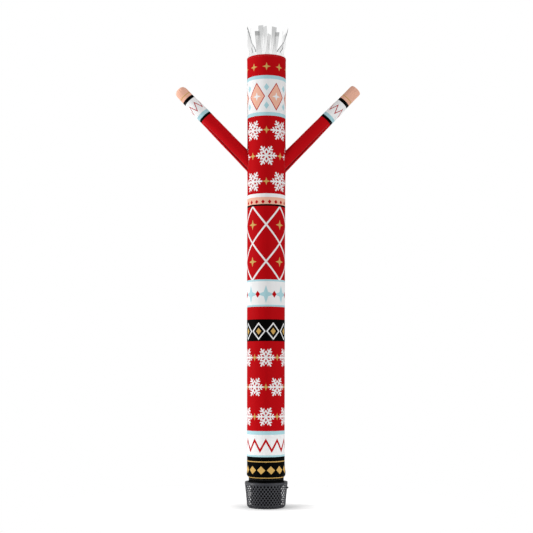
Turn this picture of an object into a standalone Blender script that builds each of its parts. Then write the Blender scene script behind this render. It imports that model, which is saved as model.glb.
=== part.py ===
"""Inflatable air dancer standing on its blower: an open cloth tube with two raised arms
and a crown of loose strips. Metres, +Z up, origin on the floor under the blower."""

import math
from collections import namedtuple

import bmesh
import bpy
from mathutils import Matrix, Vector

GAP = 0.0003  # between pieces that touch
MERGE = 0.0001  # merge distance of the turned shapes
SIDES = 48  # facets round the tube, its crown and the blower
ARM_SIDES = 28
CLOTH = 0.002  # thickness of the tube's and the arms' cloth

# Blower: a turned tub with a flat base. Its duct is wide where the tube's hem grips it, and
# narrows to a drum under the deck.
BASE_RADIUS = 0.188
FOOT_STEPS = 5
TUB_WALL = 0.003
FLOOR_THICKNESS = 0.004
WALL_FOOT = (0.2255, 0.040)  # radius and height where the tub's straight wall starts
WALL_HEAD = (0.2475, 0.270)
RIM_RADIUS = 0.2490
RIM_GROOVE = 0.002
RIM_TOP = 0.296
RIM_EDGE = 0.006  # rounding of the rim's upper edge
RIM_STEPS = 3
DECK_HOLE = 0.2045
DUCT_RADIUS = 0.2002
DUCT_WALL = 0.003
DUCT_TOP = 0.349
SHOULDER = 0.286  # height where the duct starts to narrow, at 45 degrees
DRUM_RADIUS = 0.177
DRUM_FOOT = 0.036
FLANGE_RADIUS = 0.214
FLANGE_THICKNESS = 0.003

KNOB_RADIUS = 0.010
KNOB_NECK = 0.0045
KNOB_HEIGHT = 0.019
KNOB_WAIST = -46.0  # degrees round the ball, where it meets the neck
KNOB_SIDES = 16
KNOB_STEPS = 7
RIM_KNOB_ANGLE = -31.0  # degrees from +X, towards the front at -Y
RIM_KNOB_RADIUS = 0.233
SIDE_KNOB_ANGLE = -11.25  # the middle of a facet of the wall
SIDE_KNOB_HEIGHT = 0.231

# Tube: its outer surface at each height. Sway moves the section along X, gather is the
# depth of the small pleats above the hem.
Section = namedtuple("Section", "height radius sway gather")
TUBE = [
    Section(0.306, 0.2026, 0.0000, 0.0000),
    Section(0.334, 0.2026, 0.0000, 0.0000),
    Section(0.346, 0.2052, 0.0000, 0.0006),
    Section(0.355, 0.2100, 0.0000, 0.0022),
    Section(0.364, 0.2180, -0.0010, 0.0026),
    Section(0.374, 0.2222, -0.0015, 0.0020),
    Section(0.392, 0.2236, -0.0012, 0.0014),
    Section(0.412, 0.2222, 0.0000, 0.0016),
    Section(0.436, 0.2192, -0.0020, 0.0020),
    Section(0.470, 0.2184, -0.0034, 0.0012),
    Section(0.540, 0.2186, -0.0044, 0.0004),
    Section(0.780, 0.2194, -0.0046, 0.0000),
    Section(1.650, 0.2226, -0.0040, 0.0000),
    Section(2.530, 0.2240, -0.0030, 0.0000),
    Section(3.600, 0.2254, 0.0008, 0.0000),
    Section(4.450, 0.2293, 0.0028, 0.0000),
    Section(5.250, 0.2335, 0.0036, 0.0000),
    Section(5.317, 0.2337, 0.0036, 0.0000),
]
PLEATS = 12  # pleats round the hem

# Arms: turned sleeves that leave the tube's side. Reach is measured from the wall.
Sleeve = namedtuple("Sleeve", "reach radius")
ARM_ROOT = 0.150  # length inside the tube, cut away
ARM_HOLE = 0.084  # radius of the air hole in the tube behind each arm
LEFT_SEAT = (-0.2327, 4.0877)  # X and Z where the arm's axis meets the wall
LEFT_RISE = 46.3  # degrees above level
LEFT_ARM = [
    Sleeve(1.190, 0.0000),
    Sleeve(1.188, 0.0280),
    Sleeve(1.182, 0.0500),
    Sleeve(1.169, 0.0670),
    Sleeve(1.148, 0.0742),
    Sleeve(1.110, 0.0755),
    Sleeve(1.028, 0.0769),
    Sleeve(0.751, 0.0835),
    Sleeve(0.380, 0.0880),
    Sleeve(-ARM_ROOT, 0.0930),
]
RIGHT_SEAT = (0.2297, 4.0683)
RIGHT_RISE = 45.8
RIGHT_ARM = [
    Sleeve(1.216, 0.0090),
    Sleeve(1.223, 0.0240),
    Sleeve(1.225, 0.0450),
    Sleeve(1.220, 0.0610),
    Sleeve(1.206, 0.0695),
    Sleeve(1.150, 0.0708),
    Sleeve(1.017, 0.0727),
    Sleeve(0.745, 0.0785),
    Sleeve(0.380, 0.0850),
    Sleeve(-ARM_ROOT, 0.0915),
]

# Crown: one comb of thin cloth. Its band is sewn inside the rim, and its strips stand up.
CROWN_CLOTH = 0.0012
Band = namedtuple("Band", "height radius")
BAND = [
    Band(5.284, 0.2312),
    Band(5.318, 0.2310),
    Band(5.341, 0.2240),
    Band(5.363, 0.2116),
]
STRIP_COLUMNS = 2  # facets across a strip, then one for the gap beside it
STRIP_WIDTH = 0.060
STRIP_ROWS = 7
TWIST_START = 0.12  # shares of a strip's length between which it twists
TWIST_END = 0.38
# Rise gives a strip's height, lean and curl how far it moves away from the axis, drift how
# far it moves round it, each in metres at the tip; twist is in degrees there.
Strip = namedtuple("Strip", "angle rise lean curl drift twist")
STRIPS = [
    Strip(-180.0, 0.300, -0.010, 0.016, 0.010, 28.0),
    Strip(-157.5, 0.315, -0.024, 0.020, 0.006, 20.0),
    Strip(-135.0, 0.301, 0.0255, 0.0318, -0.057, 43.5),
    Strip(-112.5, 0.314, -0.012, 0.010, 0.014, 6.0),
    Strip(-90.0, 0.304, -0.012, -0.008, -0.022, 44.0),
    Strip(-67.5, 0.296, -0.010, 0.016, 0.010, -8.0),
    Strip(-45.0, 0.283, 0.147, -0.073, 0.074, -45.0),
    Strip(-22.5, 0.280, -0.020, 0.020, -0.006, -22.0),
    Strip(0.0, 0.262, -0.004, 0.014, -0.010, -26.0),
    Strip(22.5, 0.330, -0.020, 0.030, 0.006, 24.0),
    Strip(45.0, 0.352, 0.050, 0.046, -0.030, 46.0),
    Strip(67.5, 0.345, -0.008, 0.000, -0.060, 10.0),
    Strip(90.0, 0.330, -0.010, -0.008, -0.036, -52.0),
    Strip(112.5, 0.362, -0.008, 0.000, 0.040, 8.0),
    Strip(135.0, 0.366, 0.034, 0.040, 0.034, -44.0),
    Strip(157.5, 0.325, -0.018, 0.022, -0.006, -24.0),
]


def clear_scene():
    for old in list(bpy.data.objects):
        bpy.data.objects.remove(old, do_unlink=True)


def new_collection(name):
    group = bpy.data.collections.new(name)
    bpy.context.scene.collection.children.link(group)
    return group


def make_material(name, colour, roughness, metallic=0.0):
    material = bpy.data.materials.new(name)
    material.use_nodes = True
    shader = material.node_tree.nodes["Principled BSDF"]
    shader.inputs["Base Color"].default_value = (*colour, 1.0)
    shader.inputs["Roughness"].default_value = roughness
    shader.inputs["Metallic"].default_value = metallic
    return material


def add_object(name, mesh, group, material=None):
    made = bpy.data.objects.new(name, mesh)
    group.objects.link(made)
    if material:
        mesh.materials.append(material)
    return made


def add_solidify(piece, thickness):
    """Thickens an open outer surface inwards."""
    wall = piece.modifiers.new("Wall", "SOLIDIFY")
    wall.thickness = thickness
    wall.offset = -1.0
    wall.use_even_offset = True
    return wall


def add_screw(piece, steps):
    turn = piece.modifiers.new("Turn", "SCREW")
    turn.axis = "Z"
    turn.angle = math.tau
    turn.steps = steps
    turn.render_steps = steps
    turn.use_merge_vertices = True
    turn.merge_threshold = MERGE
    turn.use_smooth_shade = True
    return turn


def add_cut(piece, cutter):
    cut = piece.modifiers.new("Cut", "BOOLEAN")
    cut.operation = "DIFFERENCE"
    cut.solver = "EXACT"
    cut.object = cutter
    return cut


def hide_cutter(cutter):
    cutter.hide_render = True
    cutter.display_type = "WIRE"


def turned_profile(name, points, closed=False):
    """Profile of (radius, height) points in the XZ plane, running down the outer side."""
    mesh = bpy.data.meshes.new(name)
    edges = [(i, i + 1) for i in range(len(points) - 1)]
    if closed:
        edges.append((len(points) - 1, 0))
    mesh.from_pydata([(radius, 0.0, height) for radius, height in points], edges, [])
    return mesh


def arc(centre_x, centre_z, radius, start, end, steps):
    """Points of an arc, with its angles in degrees from +X."""
    turns = [math.radians(start + (end - start) * i / steps) for i in range(steps + 1)]
    return [
        (centre_x + radius * math.cos(t), centre_z + radius * math.sin(t)) for t in turns
    ]


def wall_radius(height):
    """Outer radius of the tub's straight wall."""
    (foot, low), (head, high) = WALL_FOOT, WALL_HEAD
    return foot + (head - foot) * (height - low) / (high - low)


def make_guard(group, material):
    """The tub: flat base, rounded foot, tapering wall, grooved rim and the deck round the duct."""
    foot, low = WALL_FOOT
    head, high = WALL_HEAD
    inner = [
        (0.0, FLOOR_THICKNESS),
        (BASE_RADIUS, FLOOR_THICKNESS),
        (foot - TUB_WALL, low),
        (head - TUB_WALL, high),
        (head - TUB_WALL, RIM_TOP - TUB_WALL),
        (DECK_HOLE, RIM_TOP - TUB_WALL),
    ]
    groove_mid = (high + RIM_TOP) / 2
    edge_start = RIM_TOP - RIM_EDGE
    rim_edge = arc(RIM_RADIUS - RIM_EDGE, edge_start, RIM_EDGE, 90, 0, RIM_STEPS)
    rim = [
        (DECK_HOLE, RIM_TOP),
        *rim_edge,
        (RIM_RADIUS, groove_mid + RIM_GROOVE),
        (RIM_RADIUS - RIM_GROOVE, groove_mid),
        (RIM_RADIUS, groove_mid - RIM_GROOVE),
        (RIM_RADIUS, high),
        (head, high),
    ]
    reach = foot - BASE_RADIUS
    squash = low / reach
    quarter = arc(BASE_RADIUS, low, reach, 0, -90, FOOT_STEPS)
    heel = [(radius, low + (height - low) * squash) for radius, height in quarter]
    profile = inner + rim + heel + [(0.0, 0.0)]
    guard = add_object("blower_guard", turned_profile("blower_guard", profile), group, material)
    add_screw(guard, SIDES)
    return guard


def make_duct(group, material):
    """The duct: a ring through the deck, carried by its flange, and the drum under it."""
    inner = DUCT_RADIUS - DUCT_WALL
    drum_inner = DRUM_RADIUS - DUCT_WALL
    seat = RIM_TOP + GAP
    drum_top = SHOULDER - (DUCT_RADIUS - DRUM_RADIUS)
    lift = DUCT_WALL * (math.sqrt(2) - 1)  # keeps the wall even round the shoulder
    profile = [
        (inner, DUCT_TOP),
        (DUCT_RADIUS, DUCT_TOP),
        (DUCT_RADIUS, seat + FLANGE_THICKNESS),
        (FLANGE_RADIUS, seat + FLANGE_THICKNESS),
        (FLANGE_RADIUS, seat),
        (DUCT_RADIUS, seat),
        (DUCT_RADIUS, SHOULDER),
        (DRUM_RADIUS, drum_top),
        (DRUM_RADIUS, DRUM_FOOT),
        (drum_inner, DRUM_FOOT),
        (drum_inner, drum_top + lift),
        (inner, SHOULDER + lift),
    ]
    duct = add_object(
        "blower_duct", turned_profile("blower_duct", profile, closed=True), group, material
    )
    add_screw(duct, SIDES)
    return duct


def make_knob(name, group, material):
    """A round knob on a short neck, with its seat at the local origin."""
    ball = arc(0.0, KNOB_HEIGHT - KNOB_RADIUS, KNOB_RADIUS, 90, KNOB_WAIST, KNOB_STEPS)
    profile = [*ball, (KNOB_NECK, 0.0), (0.0, 0.0)]
    knob = add_object(name, turned_profile(name, profile), group, material)
    add_screw(knob, KNOB_SIDES)
    return knob


def place_knobs(group, material):
    """One knob stands on the rim, and one square to the wall, in the middle of a facet."""
    rim_knob = make_knob("rim_knob", group, material)
    turn = math.radians(RIM_KNOB_ANGLE)
    outward = Vector((math.cos(turn), math.sin(turn), 0.0))
    rim_knob.location = outward * RIM_KNOB_RADIUS + Vector((0.0, 0.0, RIM_TOP + GAP))
    side_knob = make_knob("side_knob", group, material)
    turn = math.radians(SIDE_KNOB_ANGLE)
    outward = Vector((math.cos(turn), math.sin(turn), 0.0))
    (foot, low), (head, high) = WALL_FOOT, WALL_HEAD
    slope = math.atan2(head - foot, high - low)
    out = outward * math.cos(slope) - Vector((0.0, 0.0, math.sin(slope)))
    to_facet = wall_radius(SIDE_KNOB_HEIGHT) * math.cos(math.pi / SIDES)
    seat = outward * to_facet + Vector((0.0, 0.0, SIDE_KNOB_HEIGHT))
    side_knob.rotation_mode = "QUATERNION"
    side_knob.rotation_quaternion = Vector((0, 0, 1)).rotation_difference(out)
    side_knob.location = seat + out * GAP


def tube_ring(section, spare=0.0):
    """Points of one section of the tube's outer surface, from +X round to the left."""
    centre = Vector((section.sway, 0.0, section.height))
    points = []
    for i in range(SIDES):
        turn = math.tau * i / SIDES
        radius = section.radius + spare + section.gather * math.cos(PLEATS * turn)
        points.append(centre + Vector((math.cos(turn), math.sin(turn), 0.0)) * radius)
    return points


def loft(name, rings, capped=False):
    """Mesh through rings of equal count, from the lowest up."""
    build = bmesh.new()
    rows = [[build.verts.new(point) for point in ring] for ring in rings]
    count = len(rows[0])
    for low, high in zip(rows, rows[1:]):
        for i in range(count):
            j = (i + 1) % count
            build.faces.new((low[i], low[j], high[j], high[i]))
    if capped:
        build.faces.new(list(reversed(rows[0])))
        build.faces.new(rows[-1])
    for face in build.faces:
        face.smooth = True
    mesh = bpy.data.meshes.new(name)
    build.to_mesh(mesh)
    build.free()
    return mesh


def arm_matrix(seat, rise, side):
    """Places a sleeve turned about local Z on the tube's wall. Side is -1 left, 1 right."""
    lift = math.radians(rise)
    way = Vector((side * math.cos(lift), 0.0, math.sin(lift)))
    x, z = seat
    turn = Vector((0, 0, 1)).rotation_difference(way).to_matrix().to_4x4()
    return Matrix.Translation(Vector((x, 0.0, z))) @ turn


def make_arm_hole(name, place, cutters):
    """A straight cutter along the arm's axis that opens the tube's wall."""
    build = bmesh.new()
    bmesh.ops.create_cone(
        build,
        cap_ends=True,
        segments=ARM_SIDES,
        radius1=ARM_HOLE,
        radius2=ARM_HOLE,
        depth=2 * ARM_ROOT,
    )
    mesh = bpy.data.meshes.new(name)
    build.to_mesh(mesh)
    build.free()
    hole = add_object(name, mesh, cutters)
    hole.matrix_world = place
    hide_cutter(hole)
    return hole


def make_tube(group, cutters, material, arm_places):
    """The tube: one loft from hem to rim, with a hole for the air of each arm."""
    tube = add_object("body_tube", loft("body_tube", [tube_ring(s) for s in TUBE]), group, material)
    add_solidify(tube, CLOTH)
    for name, place in arm_places.items():
        add_cut(tube, make_arm_hole(name + "_hole", place, cutters))
    return tube


def make_clearance(cutters):
    """The tube's own outside, a gap larger, which trims the roots of the arms."""
    rings = [tube_ring(section, GAP) for section in TUBE]
    solid = add_object("tube_clearance", loft("tube_clearance", rings, capped=True), cutters)
    hide_cutter(solid)
    return solid


def make_arm(name, sleeve, place, clearance, group, material):
    """A turned sleeve of cloth, its root trimmed to the tube's side."""
    profile = [(row.radius, row.reach) for row in sleeve]
    arm = add_object(name, turned_profile(name, profile), group, material)
    arm.matrix_world = place
    add_screw(arm, ARM_SIDES)
    add_solidify(arm, CLOTH)
    add_cut(arm, clearance)
    return arm


def eased(value, start, end):
    """0 up to start, 1 from end on, and a smooth step between them."""
    t = min(max((value - start) / (end - start), 0.0), 1.0)
    return t * t * (3 - 2 * t)


def strip_row(strip, share):
    """Points across a strip at a share of its length, square to the way it runs."""
    turn = math.radians(strip.angle)
    outward = Vector((math.cos(turn), math.sin(turn), 0.0))
    along = Vector((-math.sin(turn), math.cos(turn), 0.0))
    up = Vector((0.0, 0.0, 1.0))
    top = BAND[-1]
    radius = top.radius + strip.lean * share + strip.curl * share**2
    height = top.height + strip.rise * share
    sway = TUBE[-1].sway
    centre = outward * radius + along * strip.drift * share + Vector((sway, 0.0, height))
    twist = math.radians(strip.twist) * eased(share, TWIST_START, TWIST_END)
    roll = -math.atan2(strip.drift, strip.rise) * math.sin(share * math.pi / 2)
    across = along * math.cos(twist) + outward * math.sin(twist)
    across = across * math.cos(roll) + up * math.sin(roll)
    half = STRIP_COLUMNS / 2
    return [
        centre + across * STRIP_WIDTH * (i - half) / STRIP_COLUMNS
        for i in range(STRIP_COLUMNS + 1)
    ]


def make_crown(group, material):
    """The comb: a band in the rim and strips that rise from its upper edge."""
    build = bmesh.new()
    sway = TUBE[-1].sway
    rows = []
    for band in BAND:
        ring = []
        for i in range(SIDES):
            turn = math.tau * i / SIDES
            point = (sway + band.radius * math.cos(turn), band.radius * math.sin(turn), band.height)
            ring.append(build.verts.new(point))
        rows.append(ring)
    for low, high in zip(rows, rows[1:]):
        for i in range(SIDES):
            j = (i + 1) % SIDES
            build.faces.new((low[i], low[j], high[j], high[i]))
    per_facet = 360.0 / SIDES
    for strip in STRIPS:
        first = round(strip.angle / per_facet) - STRIP_COLUMNS // 2
        last_row = [rows[-1][(first + i) % SIDES] for i in range(STRIP_COLUMNS + 1)]
        for step in range(1, STRIP_ROWS + 1):
            row = [build.verts.new(p) for p in strip_row(strip, step / STRIP_ROWS)]
            for i in range(STRIP_COLUMNS):
                build.faces.new((last_row[i], last_row[i + 1], row[i + 1], row[i]))
            last_row = row
    for face in build.faces:
        face.smooth = True
    mesh = bpy.data.meshes.new("crown_fringe")
    build.to_mesh(mesh)
    build.free()
    crown = add_object("crown_fringe", mesh, group, material)
    add_solidify(crown, CROWN_CLOTH)
    return crown


def main():
    clear_scene()
    group = new_collection("air_dancer")
    cutters = new_collection("cutters")
    nylon_red = make_material("nylon_red", (0.48, 0.01, 0.015), 0.55)
    nylon_white = make_material("nylon_white", (0.85, 0.86, 0.87), 0.5)
    plastic_black = make_material("plastic_black", (0.02, 0.02, 0.024), 0.6)
    metal_black = make_material("metal_black", (0.03, 0.03, 0.033), 0.45, 0.4)
    rubber_black = make_material("rubber_black", (0.01, 0.01, 0.01), 0.7)

    make_guard(group, plastic_black)
    make_duct(group, metal_black)
    place_knobs(group, rubber_black)

    arm_places = {
        "arm_left": arm_matrix(LEFT_SEAT, LEFT_RISE, -1),
        "arm_right": arm_matrix(RIGHT_SEAT, RIGHT_RISE, 1),
    }
    make_tube(group, cutters, nylon_red, arm_places)
    clearance = make_clearance(cutters)
    for name, sleeve in (("arm_left", LEFT_ARM), ("arm_right", RIGHT_ARM)):
        make_arm(name, sleeve, arm_places[name], clearance, group, nylon_red.copy())
    make_crown(group, nylon_white)
    bpy.context.view_layer.update()


main()
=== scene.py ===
from bisect import bisect_left
from math import atan2, cos, dist, exp, hypot, pi, radians, remainder, sin, tau

import bpy
from mathutils import Matrix, Vector, noise


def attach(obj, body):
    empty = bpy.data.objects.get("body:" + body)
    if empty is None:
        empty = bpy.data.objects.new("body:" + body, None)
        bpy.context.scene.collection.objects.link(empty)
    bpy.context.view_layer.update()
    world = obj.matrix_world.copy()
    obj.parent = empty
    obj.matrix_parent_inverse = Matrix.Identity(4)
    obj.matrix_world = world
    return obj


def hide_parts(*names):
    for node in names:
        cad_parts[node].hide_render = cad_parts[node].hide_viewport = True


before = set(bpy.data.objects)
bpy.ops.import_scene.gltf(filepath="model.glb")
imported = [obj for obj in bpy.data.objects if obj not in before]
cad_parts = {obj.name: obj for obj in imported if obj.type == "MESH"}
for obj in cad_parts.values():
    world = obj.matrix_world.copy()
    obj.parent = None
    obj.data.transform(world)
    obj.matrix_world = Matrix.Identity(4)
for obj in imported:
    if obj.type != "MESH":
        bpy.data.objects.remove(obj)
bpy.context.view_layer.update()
print("frame loaded with", len(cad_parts), "nodes")


def mathsNode(operation, reflected=False):
    def apply(*values, clamp=False):
        settings = {"operation": operation, "use_clamp": clamp}
        return values[0].nodes.node("Math", settings, values[::-1 if reflected else 1])

    return apply


class Value:  # a socket; each sum with it adds a Math node
    def __init__(self, nodes, socket):
        self.nodes = nodes
        self.socket = socket

    __add__ = __radd__ = mathsNode("ADD")
    __sub__ = mathsNode("SUBTRACT")
    __rsub__ = mathsNode("SUBTRACT", reflected=True)
    __mul__ = __rmul__ = mathsNode("MULTIPLY")
    __truediv__ = mathsNode("DIVIDE")
    __mod__ = mathsNode("FLOORED_MODULO")
    __lt__ = mathsNode("LESS_THAN")
    __gt__ = mathsNode("GREATER_THAN")
    __abs__ = mathsNode("ABSOLUTE")
    timesPlus = mathsNode("MULTIPLY_ADD")
    least = mathsNode("MINIMUM")
    most = mathsNode("MAXIMUM")
    floor = mathsNode("FLOOR")
    root = mathsNode("SQRT")
    sine = mathsNode("SINE")
    cosine = mathsNode("COSINE")
    angle = mathsNode("ARCTAN2")

    def wave(self, length):
        return (self * (tau / length)).sine()

    def clamped(self):
        return self.__add__(0.0, clamp=True)

    def ramp(self, low, high):  # 0 at low, 1 at high
        return ((self - low) / (high - low)).clamped()


class Nodes:  # a node tree, with one way to add any node
    def __init__(self, tree):
        self.tree = tree

    def node(self, kind, settings=None, sockets=(), out=0):
        made = self.tree.nodes.new("ShaderNode" + kind)
        for name, value in (settings or {}).items():
            if name == "stops":
                stops = made.color_ramp.elements
                while len(stops) < len(value):
                    stops.new(1.0)
                for stop, (position, colour) in zip(stops, value):
                    stop.position = position
                    stop.color = colour
            elif name == "interpolation":
                made.color_ramp.interpolation = value
            else:
                setattr(made, name, value)
        pairs = sockets.items() if isinstance(sockets, dict) else enumerate(sockets)
        for key, value in pairs:
            self.feed(made.inputs[key], value)
        return Value(self, made.outputs[out])

    def feed(self, socket, value):
        if isinstance(value, Value):
            self.tree.links.new(value.socket, socket)
        else:
            socket.default_value = value


class Paint(Nodes):  # a material
    def __init__(self, name, **fixed):
        self.material = bpy.data.materials.new(name)
        self.material.use_nodes = True
        super().__init__(self.material.node_tree)
        self.shader = self.tree.nodes["Principled BSDF"]
        self.set(**fixed)

    def set(self, **sockets):
        for name, value in sockets.items():
            self.feed(self.shader.inputs[name.replace("_", " ")], value)

    def place(self):  # the point on the piece, in metres
        return self.node("TexCoord", out="Object")

    def split(self, vector):
        first = self.node("SeparateXYZ", None, [vector])
        return [Value(self, socket) for socket in first.socket.node.outputs]

    def clothPlace(self, layer):
        return self.split(self.node("UVMap", {"uv_map": layer}))[:2]

    def noise(self, vector, scale, detail=3.0, rough=0.5):
        sockets = {"Vector": vector, "Scale": scale, "Detail": detail, "Roughness": rough}
        return self.node("TexNoise", None, sockets)

    def mix(self, factor, low, high, blend="MIX"):  # of two colours
        settings = {"data_type": "RGBA", "blend_type": blend}
        return self.node("Mix", settings, {0: factor, 6: low, 7: high}, out=2)

    def shade(self, colour, amount):  # a colour times a value
        grey = self.node("CombineColor", None, [amount, amount, amount])
        return self.mix(1.0, colour, grey, blend="MULTIPLY")

    def relief(self, height):  # in millimetres
        bump = {"Strength": 1.0, "Distance": 0.001, "Height": height}
        self.set(Normal=self.node("Bump", None, bump))


colours = {
    "red": (0.5, 0.003, 0.006, 1),
    "white": (0.895, 0.9, 0.905, 1),
    "blue": (0.44, 0.7, 0.76, 1),
    "black": (0.001, 0.001, 0.001, 1),
    "gold": (0.64, 0.4, 0.12, 1),
    "peach": (0.9, 0.5, 0.37, 1),
    "thread": (0.3, 0.3, 0.3, 1),
}
motif = {
    "edge": 0.0015,  # softness of a printed edge
    "waist": 0.32,  # of a star; this and the rest are shares of the reach
    "stem": 0.075,  # half of a snowflake's arm
    "twig": 0.8,  # of the stem
    "twigs": ((0.36, 0.36), (0.62, 0.3)),  # start, length
    "heart": 0.15,
}
thread = {
    "pitch": 0.0045, "width": 0.0012,
    "dash": 0.62,  # share of the pitch that shows
    "cover": 0.6, "sunk": 0.8,  # in millimetres
}
finishAndPaintedShade = {
    "thickness": 0.0018, "weave": 0.0016, "gloss": 0.02,
    "streaks": (26.0, 1.4),  # how fine they are round and along the cloth
    "creases": 7.0,  # how fine they are
    "paintedSheenAndShade": (0.92, 0.1, 0.06),  # the least, and what streaks and creases add: the colour rises with their relief, a painted sheen on the raised streaks and a painted shade in the crease dips
    "roughness": (0.5, 0.16),  # the least, and what creases add
    "relief": (0.5, 0.9, 0.04),  # millimetres of streaks, creases and weave
}


# shapes to print give a distance on the cloth in metres, below nought inside

def inked(distance):  # 1 where distance is below nought
    return distance.timesPlus(-1.0 / motif["edge"], 0.5, clamp=True)


def centred(value, size):  # signed, from the middle of its cell
    return (value / size % 1.0 - 0.5) * size


def line(across, middle, width):
    return abs(across - middle) - width / 2


def zigzag(along, across, middle, period, height, width):
    swing = abs(along / period % 1.0 - 0.5) * 4.0 - 1.0
    return abs(across - middle - swing * (height / 2)) - width / 2


def diamond(x, y, wide, high):
    return (abs(x) / wide + abs(y) / high - 1.0) * min(wide, high)


def star(x, y, reach):  # two slim diamonds crossed
    slim = reach * motif["waist"]
    upright = abs(x) / slim + abs(y) / reach
    level = abs(x) / reach + abs(y) / slim
    return (upright.least(level) - 1.0) * slim


def snowflake(x, y, reach):
    sixth = pi / 3
    spread = (x * x + y * y).root()
    folded = abs((y.angle(x) / sixth + 0.5) % 1.0 - 0.5) * sixth
    out = spread * folded.cosine()
    side = spread * folded.sine()
    stem = reach * motif["stem"]
    shape = (side - stem).most(out - reach)
    for start, length in motif["twigs"]:
        away = abs((out - start * reach) * sin(sixth) - side * cos(sixth))
        twig = (away - stem * motif["twig"]).most(side - length * reach * sin(sixth))
        shape = shape.least(twig)
    return shape.least(out - reach * motif["heart"])


def stitches(along, across, pitch=thread["pitch"]):
    dash = (along / pitch % 1.0) < thread["dash"]
    return inked(abs(across) - thread["width"] / 2) * dash


def stamp(ink, mask, name):
    return ink.nodes.mix(mask, ink, colours[name])


def sew(ink, sewn):
    return stamp(ink, sewn * thread["cover"], "thread")


def groundRamp(along, bands, length, dyesAndPaintedLight):
    # bands are (upper edge, colour), from the start of the cloth
    stops, start = [], 0.0
    for edge, name in bands:
        stops.append((start / length, dyesAndPaintedLight[name]))
        start = edge
    settings = {"stops": stops, "interpolation": "CONSTANT"}
    return along.nodes.node("ValToRGB", settings, [along / length])


def nylon(paint, around, along, ink, sewn):  # with weave, creases and slight streaks
    roundScale, alongScale = finishAndPaintedShade["streaks"]
    drawn = [around * roundScale, along * alongScale, 0.0]
    streaks = paint.noise(paint.node("CombineXYZ", None, drawn), 1.0)
    creases = paint.noise(paint.place(), finishAndPaintedShade["creases"], detail=6.0, rough=0.55)
    weave = around.wave(finishAndPaintedShade["weave"]) * along.wave(finishAndPaintedShade["weave"])
    least, byStreaks, byCreases = finishAndPaintedShade["paintedSheenAndShade"]
    # painted sheen and shade: the colour is lighter where streaks and creases raise the
    # relief, darker in their dips
    paint.set(Base_Color=paint.shade(ink, streaks * byStreaks + creases * byCreases + least))
    least, byCreases = finishAndPaintedShade["roughness"]
    paint.set(Roughness=creases * byCreases + least)
    byStreaks, byCreases, byWeave = finishAndPaintedShade["relief"]
    relief = creases * byCreases + streaks * byStreaks + weave * byWeave
    paint.relief(relief - sewn * thread["sunk"])


def curveThrough(rows, column):  # smooth and without overshoot
    xs, ys = [row[0] for row in rows], [row[column] for row in rows]
    steps = [(d - b) / (c - a) for a, b, c, d in zip(xs, ys, xs[1:], ys[1:])]
    turns = [2 * a * b / (a + b) if a * b > 0 else 0.0 for a, b in zip(steps, steps[1:])]
    turns = [steps[0], *turns, steps[-1]]

    def at(place):
        place = min(max(place, xs[0]), xs[-1])
        i = min(bisect_left(xs, place, 1), len(xs) - 1) - 1
        span = xs[i + 1] - xs[i]
        t = (place - xs[i]) / span
        return (
            ys[i] * (1 + 2 * t) * (1 - t) ** 2
            + turns[i] * span * t * (1 - t) ** 2
            + ys[i + 1] * t * t * (3 - 2 * t)
            - turns[i + 1] * span * t * t * (1 - t)
        )

    return at


def smooth(value, low, high):
    t = min(max((value - low) / (high - low), 0.0), 1.0)
    return t * t * (3 - 2 * t)


def rough(x, y, z):
    return noise.noise(Vector((x, y, z)))


def outwardAt(turn):
    return Vector((cos(turn), sin(turn), 0.0))


def turnsFromSeam(columns, near):  # all the way round, closer together beside the seam
    rest = columns - 2 * len(near) + 1
    span = tau - 2 * near[-1]
    middle = [near[-1] + span * (i + 1) / (rest + 1) for i in range(rest)]
    return near + middle + [tau - t for t in reversed(near[1:])]


def newMesh(name, points, faces, layers=None):  # a layer has two values for each corner
    mesh = bpy.data.meshes.new(name)
    mesh.from_pydata(points, [], faces)
    for layer, values in (layers or {}).items():
        mesh.uv_layers.new(name=layer).data.foreach_set("uv", values)
    mesh.polygons.foreach_set("use_smooth", [True] * len(faces))
    mesh.update()
    return mesh


def meshFromRows(name, rows, layers, held=None):
    # layers have one more column, at the seam; faces with no point in held are left out
    count = len(rows[0])
    faces, corners = [], []
    for r in range(len(rows) - 1):
        for c in range(count):
            d = (c + 1) % count
            ring = (r, c), (r, d), (r + 1, d), (r + 1, c)
            if held and not any(held[a][b] for a, b in ring):
                continue
            faces.append(ring)
            corners += (r, c), (r, c + 1), (r + 1, c + 1), (r + 1, c)
    used = sorted({spot for face in faces for spot in face})
    order = {spot: i for i, spot in enumerate(used)}
    points = [tuple(rows[r][c]) for r, c in used]
    faces = [tuple(order[spot] for spot in face) for face in faces]
    flat = {}
    for layer, places in layers.items():
        flat[layer] = [value for r, c in corners for value in places[r][c]]
    return newMesh(name, points, faces, flat)


def newObject(name, data):
    made = bpy.data.objects.new(name, data)
    bpy.context.scene.collection.objects.link(made)
    return made


def addPiece(mesh, paint, nodes=()):
    piece = newObject(mesh.name, mesh)
    mesh.materials.append(paint.material)
    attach(piece, "root")
    if nodes:
        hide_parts(*nodes)
    return piece


def thicken(piece):
    wall = piece.modifiers.new("Thickness", "SOLIDIFY")
    wall.thickness = finishAndPaintedShade["thickness"]
    wall.offset = -1.0
    wall.use_even_offset = True


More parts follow.
